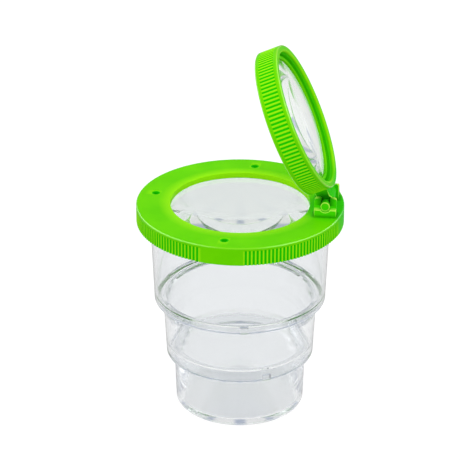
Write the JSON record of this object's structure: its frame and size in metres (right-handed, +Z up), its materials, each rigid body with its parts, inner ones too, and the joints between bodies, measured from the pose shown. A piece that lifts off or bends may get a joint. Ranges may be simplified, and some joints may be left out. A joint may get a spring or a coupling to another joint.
{
  "type": "bug catcher jar",
  "caption": "Clear telescoping viewing cup for insects, with a push-on magnifying lid and a second magnifier that flips up on a hinge.",
  "frame": {"origin": "middle of the base cup's flat underside", "axes": "+Z up along the cup's axis, +X from that axis towards the magnifier's hinge, +Y along the hinge axle"},
  "size_m": [0.075, 0.075, 0.1389],
  "materials": {
    "clear_plastic": "clear moulded polystyrene, polished",
    "clear_lens": "clear acrylic lens, polished",
    "green_plastic": "bright lime green moulded plastic, satin to glossy"
  },
  "bodies": {
    "base": {"base_cup": "clear_plastic"},
    "middle": {"middle_tube": "clear_plastic"},
    "upper": {"upper_tube": "clear_plastic"},
    "lid": {"lid_ring": "green_plastic", "lid_lens": "clear_lens", "lid_lens_keeper": "green_plastic"},
    "magnifier": {"loupe_ring": "green_plastic", "loupe_lens": "clear_lens", "loupe_lens_keeper": "green_plastic"}
  },
  "joints": [
    {"name": "middle_slide", "type": "slide", "parent": "base", "child": "middle", "axis": [0, 0, -1], "range_m": [0, 0.0202]},
    {"name": "upper_slide", "type": "slide", "parent": "middle", "child": "upper", "axis": [0, 0, -1], "range_m": [0, 0.022]},
    {"name": "lid_lift", "type": "slide", "parent": "upper", "child": "lid", "axis": [0, 0, 1], "range_m": [0, 0.03]},
    {"name": "magnifier_flip", "type": "hinge", "parent": "lid", "child": "magnifier", "pos_m": [0.0312, 0, 0.08392], "axis": [0, 1, 0], "range_deg": [-66, 90]}
  ]
}
